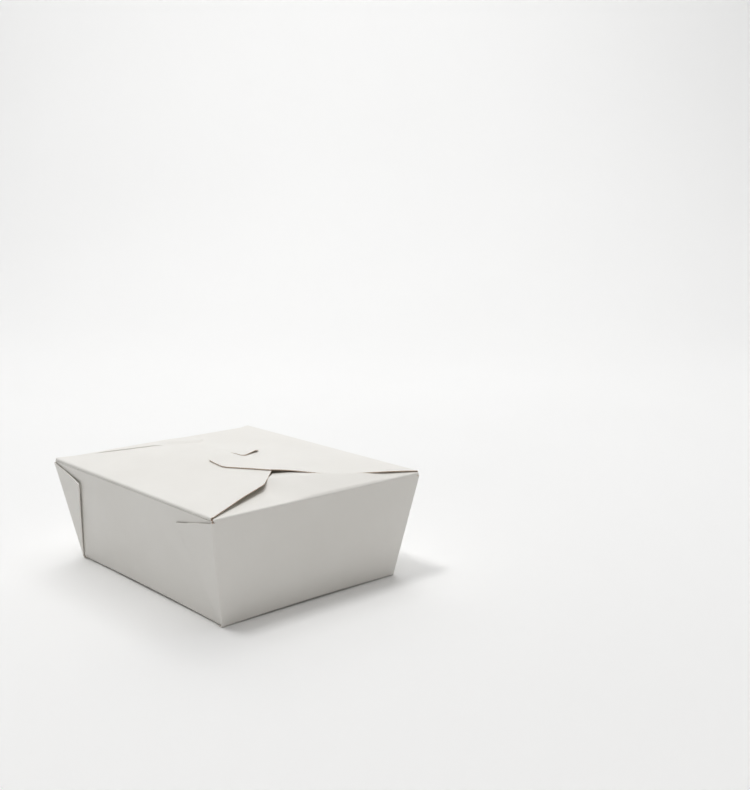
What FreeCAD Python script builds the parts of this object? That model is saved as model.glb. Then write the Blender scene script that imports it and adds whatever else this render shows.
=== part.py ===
import FreeCAD, Part
import math
import os

# A folded paperboard takeout box, shut. Millimetres and degrees.
# X runs along the long walls, Y across them, Z is up. The origin is the middle of the base's underside.

# Board and folds
board = 0.5                  # thickness of the coated board
crease_radius = 1.0          # outside radius of a fold line
lid_gap = 0.3                # daylight between flaps that lie over each other
hinge_gap = 0.3              # daylight between a lock flap's fold and the wall below it
lock_fold_relief = 1.2       # a lock flap's fold stops this far from the corners
side_fold_relief = 2.7       # a side flap's fold stops further in, clear of the lock flap's fold
corner_notch = 2.5           # the long walls are cut down this far in from the ends
crease_drop = 2.0            # the side flaps' folds and the notches start this far below the rim

# Tray, outside sizes
base_length = 153.0
base_width = 121.0
top_length = 173.5
top_width = 145.0
rim_height = 63.4            # height of the side flaps' fold lines

# Corner gussets, the folded webs on the outside of the long walls
gusset_drop = 10.0           # the web's free corner lies this far below the rim
gusset_edge_radius = 0.7     # roundness of the web's fold

# Side flaps, under the lock flaps
side_flap_rise = 2.0         # slope up from the fold line, degrees
side_flap_reach = 70.0       # from the fold line to the tip
side_tip_place = 67.0        # the tip's distance from the near corner
side_tip_radius = 12.0
side_heel_inset = 23.5       # the broad end's corner, from the far corner
side_heel_reach = 58.0
side_heel_radius = 8.0

# Lock flaps, which make a low roof and hook over each other
lock_flap_rise = 5.5         # slope up to the ridge, degrees
shoulder_inset = 21.0        # left shoulder, from the left corner
shoulder_reach = 60.0
shoulder_radius = 5.0
brow_inset = 38.0            # curve from the shoulder to the hook
brow_reach = 79.2
brow_radius = 25.0
hook_overlap = 20.7          # the hook reaches this far past the middle of the box
hook_crown_back = 18.0       # the crown's distance from the middle, along the box
hook_crown_radius = 10.0
hook_nose_back = 3.0
hook_nose_overlap = 18.5
hook_nose_radius = 5.0
hook_tip_gap = 0.3           # the two hook tips stop this far apart
hook_tip_overlap = 6.0
hook_tip_radius = 2.5
lip_back = 5.5
lip_radius = 1.2
slot_width = 4.0
slot_depth = 11.0            # from the hook's tip to the closed end
corner_inset = 41.0          # inner corner of the plain half, from the right corner
corner_radius = 4.0
cheek_inset = 24.5           # outer corner of the plain half, from the right corner
cheek_reach = 50.4
cheek_radius = 4.0

# Cutting tools run past the board by this much
margin = 10.0

# Worked out from the sizes above
lock_rim_height = rim_height + board + lid_gap
side_lean = (top_length - base_length) / 2 / rim_height
long_lean = (top_width - base_width) / 2 / rim_height
side_angle = math.atan(side_lean)
long_angle = math.atan(long_lean)
side_step = board / math.cos(side_angle)      # the wall's thickness, measured level
long_step = board / math.cos(long_angle)
rise = math.radians(lock_flap_rise)
ridge_offset = (board + lid_gap) / (2 * math.sin(rise))    # the roof's fold lies this far past the middle


def half_length(z):
    return base_length / 2 + side_lean * z


def half_width(z):
    return base_width / 2 + long_lean * z


def rectangle(half_x, half_y, z):
    corners = [(-half_x, -half_y), (half_x, -half_y), (half_x, half_y), (-half_x, half_y)]
    points = [FreeCAD.Vector(x, y, z) for x, y in corners]
    return Part.makePolygon(points + points[:1])


def tapered_block(low, high, side_grow, long_grow):
    ends = [rectangle(half_length(z) + side_grow, half_width(z) + long_grow, z) for z in (low, high)]
    return Part.makeLoft(ends, True, True)


def prism(points, travel):
    return Part.Face(Part.makePolygon(points + points[:1])).extrude(travel)


def rounded_prism(corners, place, travel):
    # corners holds (along, out, radius); place turns (along, out) into a point
    points = [place(along, out) for along, out, radius in corners]
    ends = []
    edges = []
    for index, (along, out, radius) in enumerate(corners):
        corner = points[index]
        back = (points[index - 1] - corner).normalize()
        ahead = (points[(index + 1) % len(points)] - corner).normalize()
        if radius == 0:
            ends.append((corner, corner))
            continue
        half = back.getAngle(ahead) / 2
        middle = (back + ahead).normalize()
        start = corner + back * (radius / math.tan(half))
        finish = corner + ahead * (radius / math.tan(half))
        crest = corner + middle * (radius / math.sin(half) - radius)
        edges.append(Part.Arc(start, crest, finish).toShape())
        ends.append((start, finish))
    for index, (start, finish) in enumerate(ends):
        edges.append(Part.LineSegment(ends[index - 1][1], start).toShape())
    wire = Part.Wire(Part.__sortEdges__(edges))
    return Part.Face(wire).extrude(travel)


def half_turn(shape):
    copy = shape.copy()
    copy.rotate(FreeCAD.Vector(0, 0, 0), FreeCAD.Vector(0, 0, 1), 180)
    return copy


def edges_through(shape, x, z, slack):
    # edges that run along Y at this x and z
    found = []
    for edge in shape.Edges:
        box = edge.BoundBox
        level = box.XLength < slack and box.ZLength < slack
        if level and abs(box.Center.x - x) < slack and abs(box.Center.z - z) < slack:
            found.append(edge)
    return found


# Lock flap's fold: a round bead that touches the wall's outside line and the flap's top line
def fold_centre():
    wall_normal = (math.cos(long_angle), math.sin(long_angle))
    flap_normal = (math.sin(rise), -math.cos(rise))
    scale = crease_radius / (wall_normal[0] * flap_normal[1] - wall_normal[1] * flap_normal[0])
    inward = scale * (flap_normal[1] - wall_normal[1])
    down = scale * (wall_normal[0] - flap_normal[0])
    return -half_width(lock_rim_height) + inward, lock_rim_height + down


hinge_y, hinge_z = fold_centre()


def make_gussets():
    # each web half lies flat on the wall, so the pair is two boards thick
    wall_turn = math.atan(side_lean * math.cos(long_angle))
    end_turn = math.atan(long_lean * math.cos(side_angle))
    web_half = (math.pi / 2 - wall_turn - end_turn) / 2
    free_z = rim_height - gusset_drop
    free_x = math.tan(web_half - wall_turn) * free_z / math.cos(long_angle) - half_length(0)
    out_x = -half_length(rim_height) - margin
    out_y = -half_width(rim_height) - margin
    outline = [
        FreeCAD.Vector(out_x, out_y, 0),
        FreeCAD.Vector(-half_length(0), out_y, 0),
        FreeCAD.Vector(free_x, out_y, free_z),
        FreeCAD.Vector(-half_length(rim_height), out_y, rim_height),
        FreeCAD.Vector(out_x, out_y, rim_height),
    ]
    wrap = tapered_block(0, rim_height, 0, 2 * long_step)
    core = tapered_block(0, rim_height, 0, 0)
    left_web = wrap.common(prism(outline, FreeCAD.Vector(0, -out_y, 0))).cut(core).Solids[0]
    fold = []
    for edge in left_web.Edges:
        box = edge.BoundBox
        outer = abs(edge.Vertexes[0].Y + half_width(edge.Vertexes[0].Z)) > board
        if outer and abs(box.XMax - free_x) < board and abs(box.ZMax - free_z) < board and box.ZMin < board:
            fold.append(edge)
    left_web = left_web.makeFillet(gusset_edge_radius, fold)
    right_web = left_web.mirror(FreeCAD.Vector(0, 0, 0), FreeCAD.Vector(1, 0, 0))
    return [left_web, right_web, half_turn(left_web), half_turn(right_web)]


def make_side_flap():
    # wall top, fold and flap of the right-hand end, as one bent strip
    slope = math.radians(side_flap_rise)
    fold = half_length(rim_height)
    foot = half_length(rim_height - crease_drop)
    end = fold - (side_flap_reach + margin)
    under = board / math.cos(slope)
    end_z = rim_height + (fold - end) * math.tan(slope)
    inner_x = fold - (side_step - side_lean * under) / (1 + side_lean * math.tan(slope))
    inner_z = rim_height + (fold - inner_x) * math.tan(slope) - under
    reach_y = half_width(rim_height) - side_fold_relief
    section = [
        FreeCAD.Vector(foot, -reach_y, rim_height - crease_drop),
        FreeCAD.Vector(fold, -reach_y, rim_height),
        FreeCAD.Vector(end, -reach_y, end_z),
        FreeCAD.Vector(end, -reach_y, end_z - under),
        FreeCAD.Vector(inner_x, -reach_y, inner_z),
        FreeCAD.Vector(foot - side_step, -reach_y, rim_height - crease_drop),
    ]
    strip = prism(section, FreeCAD.Vector(0, 2 * reach_y, 0))
    strip = strip.makeFillet(crease_radius, edges_through(strip, fold, rim_height, board / 2))
    strip = strip.makeFillet(crease_radius - board, edges_through(strip, inner_x, inner_z, board / 5))
    width = 2 * half_width(rim_height)
    outline = [
        (side_fold_relief, -margin, 0),
        (side_fold_relief, 2 * crease_radius, 0),
        (side_tip_place, side_flap_reach, side_tip_radius),
        (width - side_heel_inset, side_heel_reach, side_heel_radius),
        (width - side_fold_relief, 2 * crease_radius, 0),
        (width - side_fold_relief, -margin, 0),
    ]

    def place(along, out):
        return FreeCAD.Vector(fold - out, along - width / 2, 0)

    return strip.common(rounded_prism(outline, place, FreeCAD.Vector(0, 0, rim_height + margin)))


def folded_foot(block, low, radius):
    # rounds the four folds between the base and the walls
    folds = [edge for edge in block.Edges if edge.BoundBox.ZMax < low + board / 2]
    return block.makeFillet(radius, folds)


def make_tray():
    outside = folded_foot(tapered_block(0, lock_rim_height, 0, 0), 0, crease_radius)
    inside = tapered_block(board, lock_rim_height + margin, -side_step, -long_step)
    shell = outside.cut(folded_foot(inside, board, crease_radius - board))
    shell = shell.multiFuse(make_gussets())
    # the ends stop where the side flaps' folds begin
    end_x = half_length(rim_height - crease_drop) - corner_notch
    high = rim_height - crease_drop
    reach_y = half_width(lock_rim_height) + margin
    for x in (-end_x - margin, end_x):
        shell = shell.cut(Part.makeBox(margin, 2 * reach_y, margin, FreeCAD.Vector(x, -reach_y, high)))
    # the long walls stop in a hollow under the lock flaps' folds
    start = FreeCAD.Vector(-half_length(rim_height), hinge_y, hinge_z)
    along = FreeCAD.Vector(1, 0, 0)
    hollow = Part.makeCylinder(crease_radius + hinge_gap, 2 * half_length(rim_height), start, along)
    above = Part.makeBox(2 * half_length(rim_height), margin, margin, start - FreeCAD.Vector(0, margin / 2, 0))
    for cutter in (hollow, above):
        shell = shell.cut(cutter).cut(half_turn(cutter))
    side_flap = make_side_flap()
    return shell.fuse(side_flap).fuse(half_turn(side_flap)).removeSplitter()


def make_lock_flap():
    # the front one; the back one is the same, turned half round
    fold_y = -half_width(lock_rim_height)
    middle = half_length(rim_height)
    far = 2 * middle
    ridge = -fold_y
    far_y = hook_overlap + margin
    under = board / math.cos(rise)
    start_y = hinge_y - crease_radius * math.sin(rise)
    start_z = lock_rim_height + (start_y - fold_y) * math.tan(rise)
    top_z = lock_rim_height + (ridge_offset - fold_y) * math.tan(rise)
    far_z = top_z - (far_y - ridge_offset) * math.tan(rise)
    x = -middle
    section = [
        FreeCAD.Vector(x, start_y, start_z),
        FreeCAD.Vector(x, ridge_offset, top_z),
        FreeCAD.Vector(x, far_y, far_z),
        FreeCAD.Vector(x, far_y, far_z - under),
        FreeCAD.Vector(x, ridge_offset, top_z - under),
        FreeCAD.Vector(x, start_y + board * math.sin(rise), start_z - board * math.cos(rise)),
    ]
    sheet = prism(section, FreeCAD.Vector(far, 0, 0))
    tip = middle - hook_tip_gap / 2
    plain_reach = ridge - ridge_offset
    slot_end = tip - slot_depth
    slot_top = plain_reach + slot_width
    slot_radius = 0.48 * slot_width
    outline = [
        (lock_fold_relief, -margin, 0),
        (lock_fold_relief, 2 * crease_radius, 0),
        (shoulder_inset, shoulder_reach, shoulder_radius),
        (brow_inset, brow_reach, brow_radius),
        (middle - hook_crown_back, ridge + hook_overlap, hook_crown_radius),
        (middle - hook_nose_back, ridge + hook_nose_overlap, hook_nose_radius),
        (tip, ridge + hook_tip_overlap, hook_tip_radius),
        (tip - lip_back, slot_top, lip_radius),
        (slot_end, slot_top, slot_radius),
        (slot_end, plain_reach, slot_radius),
        (far - corner_inset, plain_reach, corner_radius),
        (far - cheek_inset, cheek_reach, cheek_radius),
        (far - lock_fold_relief, 2 * crease_radius, 0),
        (far - lock_fold_relief, -margin, 0),
    ]

    def place(along, out):
        return FreeCAD.Vector(along - middle, fold_y + out, 0)

    sheet = sheet.common(rounded_prism(outline, place, FreeCAD.Vector(0, 0, lock_rim_height + 2 * margin)))
    bead_start = FreeCAD.Vector(lock_fold_relief - middle, hinge_y, hinge_z)
    bead_length = far - 2 * lock_fold_relief
    bead = Part.makeCylinder(crease_radius, bead_length, bead_start, FreeCAD.Vector(1, 0, 0))
    return sheet.fuse(bead).removeSplitter()


front_flap = make_lock_flap()
nodes = {
    "tray": make_tray(),
    "front_lock_flap": front_flap,
    "back_lock_flap": half_turn(front_flap),
}
os.makedirs("parts", exist_ok=True)
for name, shape in nodes.items():
    shape.exportStep("parts/" + name + ".step")
    box = shape.BoundBox
    print(name, shape.ShapeType, len(shape.Solids), shape.isValid(), round(shape.Volume), "mm3",
          [round(v, 2) for v in (box.XMin, box.YMin, box.ZMin, box.XMax, box.YMax, box.ZMax)])
print("front hinge line at y", round(hinge_y, 3), "z", round(hinge_z, 3))
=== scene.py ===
import bpy
import math
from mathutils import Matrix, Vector


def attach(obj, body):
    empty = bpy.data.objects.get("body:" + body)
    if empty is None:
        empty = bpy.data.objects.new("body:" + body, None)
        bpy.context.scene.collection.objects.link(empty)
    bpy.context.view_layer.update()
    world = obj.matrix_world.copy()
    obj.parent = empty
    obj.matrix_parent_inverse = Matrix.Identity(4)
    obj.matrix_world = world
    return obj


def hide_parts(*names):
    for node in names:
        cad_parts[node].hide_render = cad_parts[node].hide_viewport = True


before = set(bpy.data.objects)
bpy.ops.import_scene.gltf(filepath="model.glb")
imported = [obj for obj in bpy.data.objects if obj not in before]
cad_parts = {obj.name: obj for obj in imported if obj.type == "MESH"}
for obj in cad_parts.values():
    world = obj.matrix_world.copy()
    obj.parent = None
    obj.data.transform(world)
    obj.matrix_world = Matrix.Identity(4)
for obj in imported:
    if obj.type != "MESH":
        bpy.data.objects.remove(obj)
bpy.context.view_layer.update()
print("frame loaded:", sorted(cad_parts))

mm = 0.001
near = 0.01 * mm                 # places closer than this count as one
squareOn = 0.9                   # a picked face looks at least this squarely along its axis

# sizes that every piece shares
board = {
    "thickness": 0.5 * mm,
    "foldRadius": 1.0 * mm,      # outside radius of a folded edge
    "lidGap": 0.3 * mm,
    "grid": 4 * mm,              # mesh spacing on the flat panels
    "fineGrid": 2 * mm,          # and where they bend
    "crossRows": 56 * mm,        # rows across the base and the side flaps, up to this far out
    "smoothAngle": 35,
}

box = {
    "baseLength": 153 * mm,
    "baseWidth": 121 * mm,
    "topLength": 173.5 * mm,
    "topWidth": 145 * mm,
    "rim": 63.4 * mm,
}
box["lockRim"] = box["rim"] + board["thickness"] + board["lidGap"]
box["endLean"] = (box["topLength"] - box["baseLength"]) / 2 / box["rim"]
box["longLean"] = (box["topWidth"] - box["baseWidth"]) / 2 / box["rim"]
longAngle = math.atan(box["longLean"])
endAngle = math.atan(box["endLean"])


def halfLength(z):
    return box["baseLength"] / 2 + box["endLean"] * z


def halfWidth(z):
    return box["baseWidth"] / 2 + box["longLean"] * z


# selection by place, as a hand would click
def pickOnly(piece):
    if bpy.context.mode != "OBJECT":
        bpy.ops.object.mode_set(mode="OBJECT")
    bpy.ops.object.select_all(action="DESELECT")
    piece.select_set(True)
    bpy.context.view_layer.objects.active = piece


def clearSelection(piece, kind):
    pickOnly(piece)
    bpy.ops.object.mode_set(mode="EDIT")
    bpy.ops.mesh.select_mode(type=kind)
    bpy.ops.mesh.select_all(action="DESELECT")
    bpy.ops.object.mode_set(mode="OBJECT")


def selectPoints(piece, test):
    clearSelection(piece, "VERT")
    for vertex in piece.data.vertices:
        vertex.select = test(vertex.co)
    bpy.ops.object.mode_set(mode="EDIT")


def selectEdges(piece, test, openOnly=False):
    clearSelection(piece, "EDGE")
    points = piece.data.vertices
    border = openEdges(piece) if openOnly else set()
    for edge in piece.data.edges:
        if openOnly and tuple(sorted(edge.vertices)) not in border:
            continue
        edge.select = test(points[edge.vertices[0]].co, points[edge.vertices[1]].co)
    bpy.ops.object.mode_set(mode="EDIT")


def selectFaces(piece, test):
    clearSelection(piece, "FACE")
    for face in piece.data.polygons:
        face.select = test(face.center, face.normal)
    bpy.ops.object.mode_set(mode="EDIT")


def openEdges(piece):
    # edges with a face on one side only
    count = {}
    for face in piece.data.polygons:
        for key in face.edge_keys:
            count[key] = count.get(key, 0) + 1
    return {key for key, faces in count.items() if faces == 1}


def doneEditing():
    bpy.ops.object.mode_set(mode="OBJECT")


def spread(low, high, step):
    count = max(1, round((high - low) / step))
    return [low + (high - low) * index / count for index in range(count + 1)]


def slicePlanes(piece, normal, places):
    # straight cuts right through, which add points and remove nothing
    clearSelection(piece, "FACE")
    bpy.ops.object.mode_set(mode="EDIT")
    for place in places:
        bpy.ops.mesh.select_all(action="SELECT")
        bpy.ops.mesh.bisect(plane_co=[place * n for n in normal], plane_no=normal)
    doneEditing()


def cutAway(piece, test, point, normal):
    # of the faces that pass the test, what lies on the normal's side of the plane goes
    point = Vector(point)
    normal = Vector(normal).normalized()
    selectFaces(piece, test)
    bpy.ops.mesh.bisect(plane_co=point, plane_no=normal)
    doneEditing()
    deleteFaces(piece, lambda centre, facing: test(centre, facing) and (centre - point).dot(normal) > 0)


def deleteFaces(piece, test):
    selectFaces(piece, test)
    bpy.ops.mesh.delete(type="FACE")
    doneEditing()


def extrudeAlong(moves):
    # the selected edges grow by one row of faces for each move
    for move in moves:
        bpy.ops.mesh.extrude_edges_move(TRANSFORM_OT_translate={"value": tuple(move)})


def steps(places):
    return [after - before for before, after in zip(places, places[1:])]


def frustumBlock(name, low, high, top):
    # a block that widens from low (half x, half y) at the floor to high at the top
    bpy.ops.object.select_all(action="DESELECT")
    bpy.ops.mesh.primitive_cube_add(size=2, location=(0, 0, 0))
    piece = bpy.context.object
    piece.name = name
    bpy.ops.object.mode_set(mode="EDIT")
    bpy.ops.mesh.select_all(action="SELECT")
    bpy.ops.transform.translate(value=(0, 0, 1))
    bpy.ops.transform.resize(value=(high[0], high[1], top / 2), center_override=(0, 0, 0))
    selectPoints(piece, lambda co: co.z < top / 2)
    bpy.ops.transform.resize(value=(low[0] / high[0], low[1] / high[1], 1), center_override=(0, 0, 0))
    doneEditing()
    return piece


def roundCorner(piece, place, radius, interior, segments):
    # rounds one corner of a flat outline, seen from above
    selectPoints(piece, lambda co: math.hypot(co.x - place[0], co.y - place[1]) < 5 * near)
    bpy.ops.mesh.bevel(offset=radius / math.tan(interior / 2), offset_type="OFFSET", segments=segments,
                       affect="VERTICES", clamp_overlap=False)
    doneEditing()


def applyModifier(piece, kind, **settings):
    pickOnly(piece)
    modifier = piece.modifiers.new(kind.lower(), kind)
    for key, value in settings.items():
        setattr(modifier, key, value)
    bpy.ops.object.modifier_apply(modifier=modifier.name)


def joinPieces(main, others):
    pickOnly(main)
    for piece in others:
        piece.select_set(True)
    bpy.ops.object.join()
    return main


def halfTurnCopy(piece, name):
    # the box looks the same after half a turn, so the other half is a copy
    pickOnly(piece)
    bpy.ops.object.duplicate()
    copy = bpy.context.object
    copy.name = name
    bpy.ops.object.mode_set(mode="EDIT")
    bpy.ops.mesh.select_all(action="SELECT")
    bpy.ops.transform.rotate(value=math.pi, orient_axis="Z", center_override=(0, 0, 0))
    doneEditing()
    return copy


# board: white coated outside, plain cream inside, and brownish fibre where it is cut, painted darker brown
# as well for the shade in the gaps under the cut edges
def newMaterial(name):
    material = bpy.data.materials.new(name)
    material.use_nodes = True
    nodes = material.node_tree.nodes
    nodes.clear()
    output = nodes.new("ShaderNodeOutputMaterial")
    shader = nodes.new("ShaderNodeBsdfPrincipled")
    material.node_tree.links.new(shader.outputs["BSDF"], output.inputs["Surface"])
    return material, nodes, material.node_tree.links, shader


def noiseTexture(nodes, links, coords, scale, detail, roughness):
    noise = nodes.new("ShaderNodeTexNoise")
    noise.inputs["Scale"].default_value = scale
    noise.inputs["Detail"].default_value = detail
    noise.inputs["Roughness"].default_value = roughness
    links.new(coords.outputs["Object"], noise.inputs["Vector"])
    return noise


def twoToneRamp(nodes, links, factor, dark, light, low, high):
    ramp = nodes.new("ShaderNodeValToRGB")
    ramp.color_ramp.elements[0].position = low
    ramp.color_ramp.elements[0].color = dark
    ramp.color_ramp.elements[1].position = high
    ramp.color_ramp.elements[1].color = light
    links.new(factor, ramp.inputs["Fac"])
    return ramp


# noise detail and roughness of each pattern in the paper, and where its two tones end
paperGrain = {
    "cloud": (4, 0.55),
    "cloudEnds": (0.35, 0.65),
    "fibre": (3, 0.6),
    "layers": (2, 0.5),
    "layerEnds": (0.3, 0.7),
}


def makePaperFace(name, paper):
    material, nodes, links, shader = newMaterial(name)
    coords = nodes.new("ShaderNodeTexCoord")
    cloud = noiseTexture(nodes, links, coords, paper["cloudScale"], *paperGrain["cloud"])
    tones = (paper["dark"], paper["light"])
    tone = twoToneRamp(nodes, links, cloud.outputs["Fac"], *tones, *paperGrain["cloudEnds"])
    links.new(tone.outputs["Color"], shader.inputs["Base Color"])
    gloss = nodes.new("ShaderNodeMapRange")
    gloss.inputs["To Min"].default_value = paper["roughLow"]
    gloss.inputs["To Max"].default_value = paper["roughHigh"]
    links.new(cloud.outputs["Fac"], gloss.inputs["Value"])
    links.new(gloss.outputs["Result"], shader.inputs["Roughness"])
    fibre = noiseTexture(nodes, links, coords, paper["fibreScale"], *paperGrain["fibre"])
    bump = nodes.new("ShaderNodeBump")
    bump.inputs["Strength"].default_value = paper["fibreStrength"]
    bump.inputs["Distance"].default_value = paper["fibreDepth"]
    links.new(fibre.outputs["Fac"], bump.inputs["Height"])
    links.new(bump.outputs["Normal"], shader.inputs["Normal"])
    shader.inputs["Specular IOR Level"].default_value = paper["specular"]
    return material


coatedPaper = {
    "light": (0.852, 0.836, 0.798, 1),
    "dark": (0.822, 0.804, 0.763, 1),
    "cloudScale": 16,           # faint tone changes across a panel
    "fibreScale": 900,
    "fibreDepth": 0.05 * mm,
    "fibreStrength": 0.25,
    "roughLow": 0.42,
    "roughHigh": 0.56,
    "specular": 0.4,
}

plainPaper = {
    "light": (0.86, 0.81, 0.74, 1),
    "dark": (0.83, 0.77, 0.69, 1),
    "cloudScale": 60,
    "fibreScale": 700,
    "fibreDepth": 0.08 * mm,
    "fibreStrength": 0.4,
    "roughLow": 0.75,
    "roughHigh": 0.9,
    "specular": 0.25,
}

# cut edges: partly the fibre's own brownish colour, partly painted shade that stands for the shadow in the
# gaps under the flaps' edges
cutFibreAndPaintedShade = {
    "light": (0.74, 0.60, 0.49, 1),
    "dark": (0.58, 0.43, 0.33, 1),
    "layerScale": 1400,
    "rough": 0.85,
}


def makeCutFibreAndPaintedShade():
    material, nodes, links, shader = newMaterial("cutFibreAndPaintedShade")
    coords = nodes.new("ShaderNodeTexCoord")
    layers = noiseTexture(nodes, links, coords, cutFibreAndPaintedShade["layerScale"], *paperGrain["layers"])
    tones = (cutFibreAndPaintedShade["dark"], cutFibreAndPaintedShade["light"])
    tone = twoToneRamp(nodes, links, layers.outputs["Fac"], *tones, *paperGrain["layerEnds"])
    links.new(tone.outputs["Color"], shader.inputs["Base Color"])
    shader.inputs["Roughness"].default_value = cutFibreAndPaintedShade["rough"]
    return material


boardMaterials = [
    makePaperFace("coatedPaper", coatedPaper),
    makeCutFibreAndPaintedShade(),
    makePaperFace("plainPaper", plainPaper),
]
print("paper materials made")


def giveThickness(piece):
    # the board grows inwards from its outer face
    piece.data.materials.clear()
    for material in boardMaterials:
        piece.data.materials.append(material)
    applyModifier(piece, "SOLIDIFY", thickness=board["thickness"], offset=-1, use_even_offset=True,
                  use_rim=True, material_offset=2, material_offset_rim=1)
    pickOnly(piece)
    bpy.ops.object.shade_smooth_by_angle(angle=math.radians(board["smoothAngle"]))


# tray: base and long walls in one sheet
trayCore = {
    "bottomFold": 1.4 * mm,      # radius at the foot of the long walls
    "wallTop": 62.35 * mm,       # the long walls end under the lock flaps' folds
    "seam": 3.0 * mm,            # the base meets the end walls' strip this far in
    "foldSteps": 5,
    "endInset": 1.05,            # board thicknesses between the sheet's ends and the box's ends
    "wallRows": 3 * mm,          # the walls' rows start this far from the foot and the top
    "flatFacing": 0.99,          # picks the base without its folds
}


def makeTrayCore():
    inset = trayCore["endInset"] * board["thickness"] / math.cos(endAngle)
    top = trayCore["wallTop"]
    low = (halfLength(0) - inset, halfWidth(0))
    high = (halfLength(top) - inset, halfWidth(top))
    core = frustumBlock("trayCore", low, high, top)
    deleteFaces(core, lambda centre, facing: abs(facing.x) > squareOn or centre.z > top - mm)
    selectEdges(core, lambda a, b: max(a.z, b.z) < mm and abs(a.y - b.y) < mm)
    bpy.ops.mesh.bevel(offset=trayCore["bottomFold"], segments=trayCore["foldSteps"], affect="EDGES")
    doneEditing()
    seam = halfLength(0) - trayCore["seam"]
    slicePlanes(core, (1, 0, 0), spread(-seam, seam, board["grid"]))
    slicePlanes(core, (0, 1, 0), spread(-board["crossRows"], board["crossRows"], board["fineGrid"]))
    slicePlanes(core, (0, 0, 1), spread(trayCore["wallRows"], top - trayCore["wallRows"], board["grid"]))
    deleteFaces(core, lambda centre, facing: facing.z < -trayCore["flatFacing"] and abs(centre.x) > seam)
    return core


# tray: an end wall with its side flap and the webs that wrap round its two corners
trayEnd = {
    "foldFoot": 2.0 * mm,        # the fold starts this far below the rim
    "foldSteps": 6,
    "cornerSteps": 5,
    "gussetDrop": 10 * mm,
    "gussetBoards": 2,
    "hemRadius": 0.47 * mm,      # roundness of a web's fold
    "hemSteps": 6,
    "hemReach": (3 * mm, 9 * mm, 16 * mm, 24 * mm),   # rows of the web's inner layer
    "hemTrim": 1.2 * mm,         # the inner layer stops this far inside the end wall
    "flapRise": 2.0,             # degrees
    "flapReach": 70 * mm,
    "foldRelief": 2.1 * mm,
    "foldRunOn": 1.3 * mm,
    "tipPlace": 67 * mm,
    "tipRadius": 12 * mm,
    "heelInset": 23.5 * mm,
    "heelReach": 58 * mm,
    "heelRadius": 8 * mm,
    "cornerSegments": 12,
    "sparePaper": 5 * mm,        # the flap is this much longer before its outline is cut
    "columns": (12 * mm, 84 * mm),
    "wallRows": (3 * mm, 2 * mm),    # the wall's rows start this far from the foot and the fold
    "litRimFacing": 0.5,            # cut rims that look up more than this are white, a painted highlight for the light falling on them
}
webOut = trayEnd["gussetBoards"] * board["thickness"] / math.cos(longAngle)
foldEnd = halfWidth(box["rim"]) - trayEnd["foldRelief"]


def webFreeCorner():
    wallTurn = math.atan(box["endLean"] * math.cos(longAngle))
    endTurn = math.atan(box["longLean"] * math.cos(endAngle))
    webHalf = (math.pi / 2 - wallTurn - endTurn) / 2
    z = box["rim"] - trayEnd["gussetDrop"]
    return halfLength(0) - math.tan(webHalf - wallTurn) * z / math.cos(longAngle), z


webX, webZ = webFreeCorner()


def arcPlaces(sharp, start, finish, radius, count):
    # points of the rounding where direction start turns to direction finish at a sharp corner
    turn = start.angle(finish)
    first = sharp - start * radius * math.tan(turn / 2)
    inward = (finish - start * start.dot(finish)).normalized()
    centre = first + inward * radius
    angles = [turn * index / count for index in range(count + 1)]
    return [centre - inward * radius * math.cos(a) + start * radius * math.sin(a) for a in angles]


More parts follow.
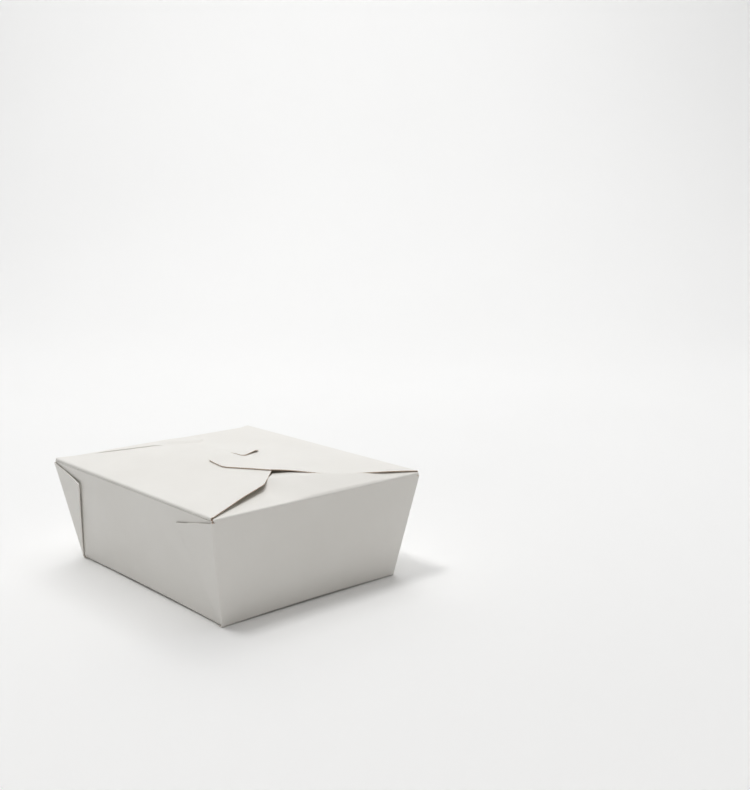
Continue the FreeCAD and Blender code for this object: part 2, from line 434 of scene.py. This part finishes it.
def makeTrayEnd():
    top = box["rim"] - trayEnd["foldFoot"]
    low = (halfLength(0), halfWidth(0) + webOut)
    high = (halfLength(top), halfWidth(top) + webOut)
    end = frustumBlock("trayEnd", low, high, top)
    seam = halfLength(0) - trayCore["seam"]
    deleteFaces(end, lambda centre, facing: centre.z > top - mm or facing.x < -squareOn)
    cutAway(end, lambda centre, facing: facing.z < -squareOn, (seam, 0, 0), (-1, 0, 0))
    cutAway(end, lambda centre, facing: abs(facing.y) > squareOn, (0, 0, 0), (-1, 0, 0))
    onEnd = halfLength(0) - near
    selectEdges(end, lambda a, b: min(a.x, b.x) > onEnd and min(a.z, b.z) < mm)
    bpy.ops.mesh.bevel(offset=board["foldRadius"], segments=trayEnd["cornerSteps"], affect="EDGES")
    doneEditing()

    # the side flap, folded over from the top of the wall and cut to its outline
    slicePlanes(end, (0, 1, 0), (-foldEnd, foldEnd))
    slope = math.radians(trayEnd["flapRise"])
    sharp = Vector((halfLength(box["rim"]), 0, box["rim"]))
    upWall = Vector((math.sin(endAngle), 0, math.cos(endAngle)))
    alongFlap = Vector((-math.cos(slope), 0, math.sin(slope)))
    fold = arcPlaces(sharp, upWall, alongFlap, board["foldRadius"], trayEnd["foldSteps"])
    reach = trayEnd["flapReach"] + trayEnd["sparePaper"]
    rows = [Vector((halfLength(top), 0, top))] + fold + [sharp + alongFlap * reach]
    inFold = foldEnd + near
    selectEdges(end, lambda a, b: min(a.z, b.z) > top - near and max(abs(a.y), abs(b.y)) < inFold)
    extrudeAlong(steps(rows))
    doneEditing()
    half = halfWidth(box["rim"])
    corners = [
        (-foldEnd, 2 * board["foldRadius"]),
        (trayEnd["tipPlace"] - half, trayEnd["flapReach"]),
        (half - trayEnd["heelInset"], trayEnd["heelReach"]),
        (foldEnd, 2 * board["foldRadius"]),
    ]
    places = [Vector((sharp.x - out, y, 0)) for y, out in corners]
    for before, after in zip(places, places[1:]):
        run = after - before
        outward = (-run.y, run.x, 0)
        cutAway(end, lambda centre, facing: facing.z > squareOn, before, outward)
    for index, radius in ((1, trayEnd["tipRadius"]), (2, trayEnd["heelRadius"])):
        interior = (places[index - 1] - places[index]).angle(places[index + 1] - places[index])
        roundCorner(end, places[index], radius, interior, trayEnd["cornerSegments"])

    # rows and columns for soft shape
    foot, head = trayEnd["wallRows"]
    slicePlanes(end, (0, 1, 0), spread(-board["crossRows"], board["crossRows"], board["fineGrid"]))
    slicePlanes(end, (1, 0, 0), spread(*trayEnd["columns"], board["fineGrid"]))
    slicePlanes(end, (0, 0, 1), spread(foot, top - head, board["grid"]))
    for side in (-1, 1):
        foldWeb(end, side, top)
    return end


def webDirections(side):
    # of the web on the right end, at the front (side -1) or the back (side 1)
    outward = Vector((0, side * math.cos(longAngle), -math.sin(longAngle)))
    base = Vector((halfLength(0), side * (halfWidth(0) + webOut), 0))
    free = Vector((webX, side * (halfWidth(webZ) + webOut), webZ))
    along = (free - base).normalized()
    ahead = along.cross(outward).normalized()
    if ahead.x > 0:
        ahead = -ahead
    return outward, base, free, ahead


def foldWeb(end, side, top):
    outward, base, free, ahead = webDirections(side)
    radius = trayEnd["hemRadius"]

    def onSide(centre, facing):
        return facing.y * side > squareOn

    high = Vector((halfLength(top), side * (halfWidth(top) + webOut), top))
    rimLine = (high - free).normalized()
    above = rimLine.cross(outward).normalized()
    if above.z < 0:
        above = -above
    cutAway(end, onSide, base - ahead * radius, ahead)
    cutAway(end, onSide, free, above)
    edgeStart = base - ahead * radius

    def onFold(a, b):
        return all(abs((p - edgeStart).dot(ahead)) < 2 * near and p.y * side > 0 for p in (a, b))

    angles = [math.pi * index / trayEnd["hemSteps"] for index in range(trayEnd["hemSteps"] + 1)]
    places = [ahead * radius * math.sin(a) - outward * radius * (1 - math.cos(a)) for a in angles]
    places += [places[-1] - ahead * distance for distance in trayEnd["hemReach"]]
    selectEdges(end, onFold, openOnly=True)
    extrudeAlong(steps(places))
    doneEditing()

    # the inner layer lies behind the outer one and ends with it at the top
    def innerLayer(centre, facing):
        return facing.dot(outward) < -squareOn and centre.y * side > halfWidth(centre.z) - board["thickness"]

    wallFacing = Vector((math.cos(endAngle), 0, -math.sin(endAngle)))
    cutAway(end, innerLayer, Vector((halfLength(0), 0, 0)) - wallFacing * trayEnd["hemTrim"], wallFacing)
    cutAway(end, innerLayer, free, above)


core = makeTrayCore()
rightEnd = makeTrayEnd()
leftEnd = halfTurnCopy(rightEnd, "leftEnd")
print("tray sheets folded")


# the webs stand a little off the walls where they are free, and slip towards the corner: lift and slip
webLift = {
    ("left", "front"): (1.35 * mm, 6 * mm),
    ("right", "front"): (0.1 * mm, 0),
    ("left", "back"): (0.6 * mm, 0),
    ("right", "back"): (0.9 * mm, 3 * mm),
}
webSpring = {
    "pastCorner": 1.2,           # the lift stops growing this far out, as a share of the web's width
    "acrossPower": 1.5,
    "upPower": 0.6,
    "leastWidth": 2 * mm,
}


def liftWeb(piece, sideX, sideY, lift, slip):
    for vertex in piece.data.vertices:
        co = vertex.co
        nearWall = abs(co.y) > halfWidth(co.z) - board["thickness"]
        if co.x * sideX < 0 or co.y * sideY < 0 or not nearWall:
            continue
        corner = halfLength(co.z)
        freeAt = halfLength(0) - (halfLength(0) - webX) * co.z / webZ
        across = max(0, (corner - abs(co.x)) / max(corner - freeAt, webSpring["leastWidth"]))
        swing = min(webSpring["pastCorner"], across) ** webSpring["acrossPower"]
        co.y += sideY * lift * swing * min(1, co.z / webZ) ** webSpring["upPower"]
        co.x += sideX * slip * min(1, across) * co.z / webZ


for nameX, sideX, piece in (("left", -1, leftEnd), ("right", 1, rightEnd)):
    for nameY, sideY in (("front", -1), ("back", 1)):
        liftWeb(piece, sideX, sideY, *webLift[(nameX, nameY)])


# the lid: two lock flaps that form a low roof
lid = {
    "rise": 5.5,                 # degrees
    "ridgeSoftness": 2 * mm,
    "droop": 4.7 * mm,           # the roof sinks towards its left end
    "droopFrom": 5 * mm,
    "droopTo": -66 * mm,
    "droopPower": 1.1,
    "dips": (                    # smaller dips in the two free edges on the right: place, reach, depth
        ((62 * mm, -22 * mm), 28 * mm, 0.8 * mm),
        ((71 * mm, 28 * mm), 40 * mm, 1.1 * mm),
    ),
}
rise = math.radians(lid["rise"])
flapFold = -halfWidth(box["lockRim"])
ridgeOffset = (board["thickness"] + board["lidGap"]) / (2 * math.sin(rise))
ridgeTop = box["lockRim"] + (ridgeOffset - flapFold) * math.tan(rise)


def hingeLine():
    # where the hinge runs: the fold's bead touches the wall's outside line and the flap's top line
    wallNormal = (math.cos(longAngle), math.sin(longAngle))
    flapNormal = (math.sin(rise), -math.cos(rise))
    scale = board["foldRadius"] / (wallNormal[0] * flapNormal[1] - wallNormal[1] * flapNormal[0])
    return flapFold + scale * (flapNormal[1] - wallNormal[1])


foldStart = hingeLine() - board["foldRadius"] * math.sin(rise)


def smoothStep(value):
    value = min(1, max(0, value))
    return value * value * (3 - 2 * value)


def smoothLow(a, b, softness):
    return 0.5 * (a + b - math.hypot(a - b, softness))


def lidSag(x, y):
    reach = max(0, (lid["droopFrom"] - x) / (lid["droopFrom"] - lid["droopTo"]))
    share = max(0, 1 - math.hypot(y, lid["ridgeSoftness"]) / abs(foldStart))
    sag = lid["droop"] * reach ** lid["droopPower"] * share
    for place, dipReach, depth in lid["dips"]:
        sag += depth * (1 - smoothStep(math.hypot(x - place[0], y - place[1]) / dipReach))
    return sag


def lidTop(x, y):
    # height of the top face of the flap that starts on this side
    return box["lockRim"] + (abs(flapFold) - abs(y)) * math.tan(rise) - lidSag(x, y)


# the side flaps spring up against the lock flaps between these distances along their folds
sideSpring = {
    "slope": 0.29,
    "rise": (46 * mm, 67 * mm),
    "endSlope": 0.14,
    "fall": (108 * mm, 126 * mm),
    "underLid": 0.72 * mm,       # below the lock flap's top face where it is covered
    "freeIn": {1: (-0.1 * mm, 0.35 * mm), -1: (0.2 * mm, 0.8 * mm)},     # on the right and the left flap
    "overLid": {1: 0.14 * mm, -1: 0.45 * mm},
    "slit": 1.6 * mm,            # opening under the hooked flap's edge
    "slitClose": (70 * mm, 89 * mm),
    "slitFade": (2 * mm, 10 * mm),
    "softness": 0.3 * mm,
}
# the lock flaps' edges over the right side flap: a point and the direction out of the lock flap
hookFlapEdges = (
    ((65.75 * mm, 12.65 * mm), (0.946, -0.323)),
    ((65.75 * mm, 12.65 * mm), (0.75, -0.66)),
    ((48.75 * mm, -6.55 * mm), (0.418, -0.908)),
)
plainFlapEdges = (
    ((62.25 * mm, -22.25 * mm), (0.902, 0.434)),
    ((62.25 * mm, -22.25 * mm), (0.742, 0.67)),
)


def outsideOf(edges, x, y):
    return max((x - point[0]) * normal[0] + (y - point[1]) * normal[1] for point, normal in edges)


def between(value, low, high):
    return smoothStep((value - low) / (high - low))


def sideFlapHeight(x, y, sideX):
    ownX = sideX * x
    ownY = sideX * y
    out = halfLength(box["rim"]) - ownX
    along = ownY + halfWidth(box["rim"])
    slope = math.tan(math.radians(trayEnd["flapRise"]))
    slope += (sideSpring["slope"] - slope) * between(along, *sideSpring["rise"])
    slope += (sideSpring["endSlope"] - slope) * between(along, *sideSpring["fall"])
    hookSide = outsideOf(hookFlapEdges, ownX, ownY)
    plainSide = outsideOf(plainFlapEdges, ownX, ownY)
    free = between(min(hookSide, plainSide), *sideSpring["freeIn"][sideX])
    slit = sideSpring["slit"] * (1 - between(along, *sideSpring["slitClose"]))
    slit *= 1 - between(hookSide, *sideSpring["slitFade"])
    limit = lidTop(x, y) - sideSpring["underLid"] * (1 - free) + sideSpring["overLid"][sideX] * free - slit
    return smoothLow(box["rim"] + out * slope, limit, sideSpring["softness"])


def isSideFlap(centre, facing):
    return facing.z > squareOn and centre.z > box["rim"]


def springFlap(piece, sideX):
    # two close cuts along the hooked flap's edge let the side flap step down under it
    for point, normal in hookFlapEdges:
        for place in sideSpring["freeIn"][sideX]:
            selectFaces(piece, isSideFlap)
            cut = (sideX * (point[0] + normal[0] * place), sideX * (point[1] + normal[1] * place), 0)
            bpy.ops.mesh.bisect(plane_co=cut, plane_no=(normal[0], normal[1], 0))
            doneEditing()
    foldTop = halfLength(box["rim"]) - board["foldRadius"]
    for vertex in piece.data.vertices:
        co = vertex.co
        if co.z > box["rim"] - board["foldRadius"] / 2 and sideX * co.x < foldTop:
            co.z = sideFlapHeight(co.x, co.y, sideX)
        elif co.z > box["rim"] - trayEnd["foldFoot"] + near and abs(co.y) > foldEnd - near:
            # the fold itself runs on to the corner
            co.y += math.copysign(trayEnd["foldRunOn"], co.y)


springFlap(rightEnd, 1)
springFlap(leftEnd, -1)
print("side flaps sprung against the lid")


def weldSeams(piece):
    pickOnly(piece)
    bpy.ops.object.mode_set(mode="EDIT")
    bpy.ops.mesh.select_all(action="SELECT")
    bpy.ops.mesh.remove_doubles(threshold=near)
    doneEditing()


def whitenFootAndLitRims(piece):
    # no cut shows at the foot, where the base runs on into the end walls; on top of the walls and webs the
    # cut rims are painted white, a painted highlight where light from above falls on them
    for face in piece.data.polygons:
        low = face.center.z < board["thickness"] + baseBow["long"]
        outer = abs(face.center.y) > halfWidth(face.center.z) - board["thickness"]
        # painted highlight: cut rims that face up take the white face colour
        wallTop = outer and face.normal.z > trayEnd["litRimFacing"]
        if face.material_index == 1 and (low or wallTop):
            face.material_index = 0


# the base bows: its four folds leave the floor between the corners
baseBow = {
    "long": 0.8 * mm,
    "end": 0.8 * mm,
    "innerShare": 0.35,          # of the way from the middle, where the rise begins
    "wallHeight": 25 * mm,
}


def bowBase(piece):
    for vertex in piece.data.vertices:
        co = vertex.co
        x = min(1, abs(co.x) / halfLength(0))
        y = min(1, abs(co.y) / halfWidth(0))
        lift = baseBow["long"] * between(y, baseBow["innerShare"], 1) * (1 - x * x)
        lift += baseBow["end"] * between(x, baseBow["innerShare"], 1) * (1 - y * y)
        co.z += lift * (1 - between(co.z, 0, baseBow["wallHeight"]))


tray = joinPieces(core, [rightEnd, leftEnd])
tray.name = "trayBoard"
weldSeams(tray)
bowBase(tray)
giveThickness(tray)
whitenFootAndLitRims(tray)
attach(tray, "tray")
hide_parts("tray")
print("tray finished:", len(tray.data.polygons), "faces")


# lock flaps: the lid, each with a hook and a rolled fold
lockFlap = {
    "foldRelief": 1.5 * mm,
    "shoulder": (21 * mm, 60 * mm, 5 * mm),     # inset from the corner, reach, radius
    "brow": (38 * mm, 79.2 * mm, 25 * mm),
    "crown": (18 * mm, 20.7 * mm, 10 * mm),     # back from the middle, past the middle, radius
    "nose": (0.2 * mm, 18.5 * mm, 4 * mm),
    "tip": (-11.5 * mm, 0.2 * mm, 2 * mm),      # the hooks pass each other and lie on the far side
    "slotEnd": -10 * mm,
    "slotRadius": 1.9 * mm,
    "corner": (41 * mm, 4 * mm),                # inset from the far corner, radius
    "cheek": (24.5 * mm, 50.4 * mm, 4 * mm),
    "cornerSegments": 10,
    "columns": 84 * mm,          # columns of mesh reach this far each way
    "rows": (                    # rows of mesh: from, to, step
        (-70 * mm, -6 * mm, 4 * mm),
        (-5 * mm, 14 * mm, 1 * mm),
        (17 * mm, 21 * mm, 4 * mm),
    ),
    "curlStep": 20,              # degrees
    "curlTurn": 260,
    "tipLift": 1.1 * mm,         # the hook's tip springs up
    "tipLiftOver": (-8 * mm, 8 * mm),
    "tipLiftPast": (-1 * mm, 3 * mm),
    "hookLean": 0.11,            # both hooks lean to the right
    "topLimit": 71.5 * mm,
}


def lockOutline():
    middle = halfLength(box["rim"])
    far = 2 * middle
    ridge = -flapFold
    start = foldStart - flapFold
    plainReach = ridge - ridgeOffset
    slotEnd = middle + lockFlap["slotEnd"]
    relief = lockFlap["foldRelief"]
    crown = lockFlap["crown"]
    nose = lockFlap["nose"]
    tip = lockFlap["tip"]
    corner = lockFlap["corner"]
    cheek = lockFlap["cheek"]
    outline = [
        (relief, start, 0),
        (relief, 2 * board["foldRadius"], 0),
        lockFlap["shoulder"],
        lockFlap["brow"],
        (middle - crown[0], ridge + crown[1], crown[2]),
        (middle - nose[0], ridge + nose[1], nose[2]),
        (middle - tip[0], ridge + tip[1], tip[2]),
        (slotEnd, ridge + tip[1], lockFlap["slotRadius"]),
        (slotEnd, plainReach, lockFlap["slotRadius"]),
        (far - corner[0], plainReach, corner[1]),
        (far - cheek[0], cheek[1], cheek[2]),
        (far - relief, 2 * board["foldRadius"], 0),
        (far - relief, start, 0),
    ]
    return [(Vector((along - middle, flapFold + out, 0)), radius) for along, out, radius in outline]


def makeLockFlap(name):
    outline = lockOutline()
    bpy.ops.object.select_all(action="DESELECT")
    bpy.ops.mesh.primitive_circle_add(vertices=len(outline), radius=1, fill_type="NGON", location=(0, 0, 0))
    flap = bpy.context.object
    flap.name = name
    # the circle's points are dragged to the outline's corners, in the same order round it
    for vertex, (place, radius) in zip(flap.data.vertices, reversed(outline)):
        vertex.co = place
    for index, (place, radius) in enumerate(outline):
        if radius:
            before = outline[index - 1][0] - place
            after = outline[(index + 1) % len(outline)][0] - place
            roundCorner(flap, place, radius, before.angle(after), lockFlap["cornerSegments"])
    slicePlanes(flap, (1, 0, 0), spread(-lockFlap["columns"], lockFlap["columns"], board["grid"]))
    for low, high, step in lockFlap["rows"]:
        slicePlanes(flap, (0, 1, 0), spread(low, high, step))
    for vertex in flap.data.vertices:
        vertex.co.z = box["lockRim"]
    if flap.data.polygons[0].normal.z < 0:
        selectFaces(flap, lambda centre, facing: True)
        bpy.ops.mesh.flip_normals()
        doneEditing()
    return flap


def shapeLockFlap(flap, side):
    # side is -1 for the front flap and 1 for the back one
    for vertex in flap.data.vertices:
        co = vertex.co
        ownX = -side * co.x
        ownY = -side * co.y
        height = ridgeTop - math.tan(rise) * math.hypot(ownY - ridgeOffset, lid["ridgeSoftness"])
        tip = between(ownX, *lockFlap["tipLiftOver"]) * between(ownY, *lockFlap["tipLiftPast"])
        height += lockFlap["tipLift"] * tip - lidSag(co.x, co.y)
        co.z = min(height, lockFlap["topLimit"])
        co.x += lockFlap["hookLean"] * max(0, ownY)
    # the fold curls round its own axis
    selectEdges(flap, lambda a, b: max(-side * a.y, -side * b.y) < foldStart + 2 * near, openOnly=True)
    places = []
    for index in range(round(lockFlap["curlTurn"] / lockFlap["curlStep"]) + 1):
        angle = rise + math.radians(lockFlap["curlStep"] * index)
        places.append(Vector((0, side * math.sin(angle), math.cos(angle))) * board["foldRadius"])
    extrudeAlong(steps(places))
    doneEditing()


frontFlap = makeLockFlap("frontLockFlap")
backFlap = halfTurnCopy(frontFlap, "backLockFlap")
shapeLockFlap(frontFlap, -1)
shapeLockFlap(backFlap, 1)
lidPieces = (
    (frontFlap, "front_flap", "front_lock_flap"),
    (backFlap, "back_flap", "back_lock_flap"),
)
for flap, body, node in lidPieces:
    giveThickness(flap)
    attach(flap, body)
    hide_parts(node)
    print(flap.name, "finished:", len(flap.data.polygons), "faces")


# studio: pale paper that sweeps up behind the box, sizes in metres
studio = {
    "floorSize": 9.0,
    "sweepBack": 1.6,
    "sweepHeight": 3.0,
    "sweepRadius": 0.9,
    "sweepSteps": 24,
    "pickWithin": 0.01,
    "light": (0.95, 0.95, 0.945, 1),
    "dark": (0.93, 0.93, 0.925, 1),
    "cloudScale": 2,
    "rough": 0.9,
    "worldStrength": 0.18,
}

# each lamp's power, size, place, target and colour
lamps = {
    "topSoft": (16.4, 1.8, (0, 0.1, 2.0), (0, 0, 0), (1, 1, 1)),
    "topKey": (10, 0.35, (-0.08, -0.5, 1.9), (0, 0, 0), (1, 1, 1)),
    "leftSoft": (1.0, 1.2, (-1.5, -0.8, 1.1), (0, 0, 0.03), (1, 1, 1)),
    "frontFill": (0.5, 0.8, (0.95, -0.6, 0.4), (0, 0, 0.03), (1, 0.86, 0.7)),
    "sweepSoft": (19, 1.8, (-1.1, 0.9, 2.1), (-1.4, 1.9, 1.1), (1, 1, 1)),
}

camera = {
    "place": (0.5432, -0.3712, 0.2271),
    "pitch": 10.48,             # degrees below level
    "turn": 48.18,              # degrees from the Y axis
    "focalPixels": 1116,
    "pictureHeight": 790,
    "sensor": 36,
    "clipStart": 0.01,
}


def makeStage():
    bpy.ops.object.select_all(action="DESELECT")
    bpy.ops.mesh.primitive_plane_add(size=studio["floorSize"], location=(0, 0, 0))
    floor = bpy.context.object
    floor.name = "studioFloor"
    half = studio["floorSize"] / 2
    back = studio["sweepBack"]
    within = studio["pickWithin"]
    selectPoints(floor, lambda co: co.y > 0)
    bpy.ops.transform.translate(value=(0, back - half, 0))
    doneEditing()
    selectEdges(floor, lambda a, b: min(a.y, b.y) > back - within)
    extrudeAlong([(0, 0, studio["sweepHeight"])])
    doneEditing()
    selectEdges(floor, lambda a, b: min(a.y, b.y) > back - within and max(a.z, b.z) < within)
    bpy.ops.mesh.bevel(offset=studio["sweepRadius"], segments=studio["sweepSteps"], affect="EDGES")
    bpy.ops.mesh.select_all(action="SELECT")
    bpy.ops.transform.rotate(value=-math.radians(camera["turn"]), orient_axis="Z", center_override=(0, 0, 0))
    doneEditing()
    bpy.ops.object.shade_smooth()
    material, nodes, links, shader = newMaterial("studioPaper")
    coords = nodes.new("ShaderNodeTexCoord")
    cloud = noiseTexture(nodes, links, coords, studio["cloudScale"], *paperGrain["layers"])
    tones = (studio["dark"], studio["light"])
    tone = twoToneRamp(nodes, links, cloud.outputs["Fac"], *tones, *paperGrain["layerEnds"])
    links.new(tone.outputs["Color"], shader.inputs["Base Color"])
    shader.inputs["Roughness"].default_value = studio["rough"]
    floor.data.materials.append(material)


def addLight(name, power, size, place, target, colour):
    light = bpy.data.lights.new(name, "AREA")
    light.energy = power
    light.size = size
    light.color = colour
    lamp = bpy.data.objects.new(name, light)
    bpy.context.scene.collection.objects.link(lamp)
    lamp.location = place
    lamp.rotation_euler = (Vector(target) - Vector(place)).to_track_quat("-Z", "Y").to_euler()


makeStage()
for name, (power, size, place, target, colour) in lamps.items():
    addLight(name, power, size, place, target, colour)
world = bpy.data.worlds.new("studioAir")
bpy.context.scene.world = world
world.use_nodes = True
world.node_tree.nodes["Background"].inputs["Color"].default_value = (1, 1, 1, 1)
world.node_tree.nodes["Background"].inputs["Strength"].default_value = studio["worldStrength"]
bpy.context.scene.view_settings.view_transform = "Standard"


def makeCamera():
    data = bpy.data.cameras.new("photoCamera")
    data.sensor_width = camera["sensor"]
    data.lens = camera["sensor"] * camera["focalPixels"] / camera["pictureHeight"]
    data.clip_start = camera["clipStart"]
    view = bpy.data.objects.new("photoCamera", data)
    bpy.context.scene.collection.objects.link(view)
    view.location = camera["place"]
    view.rotation_euler = (math.radians(90 - camera["pitch"]), 0, math.radians(camera["turn"]))
    bpy.context.scene.camera = view


makeCamera()
print("studio and camera set")
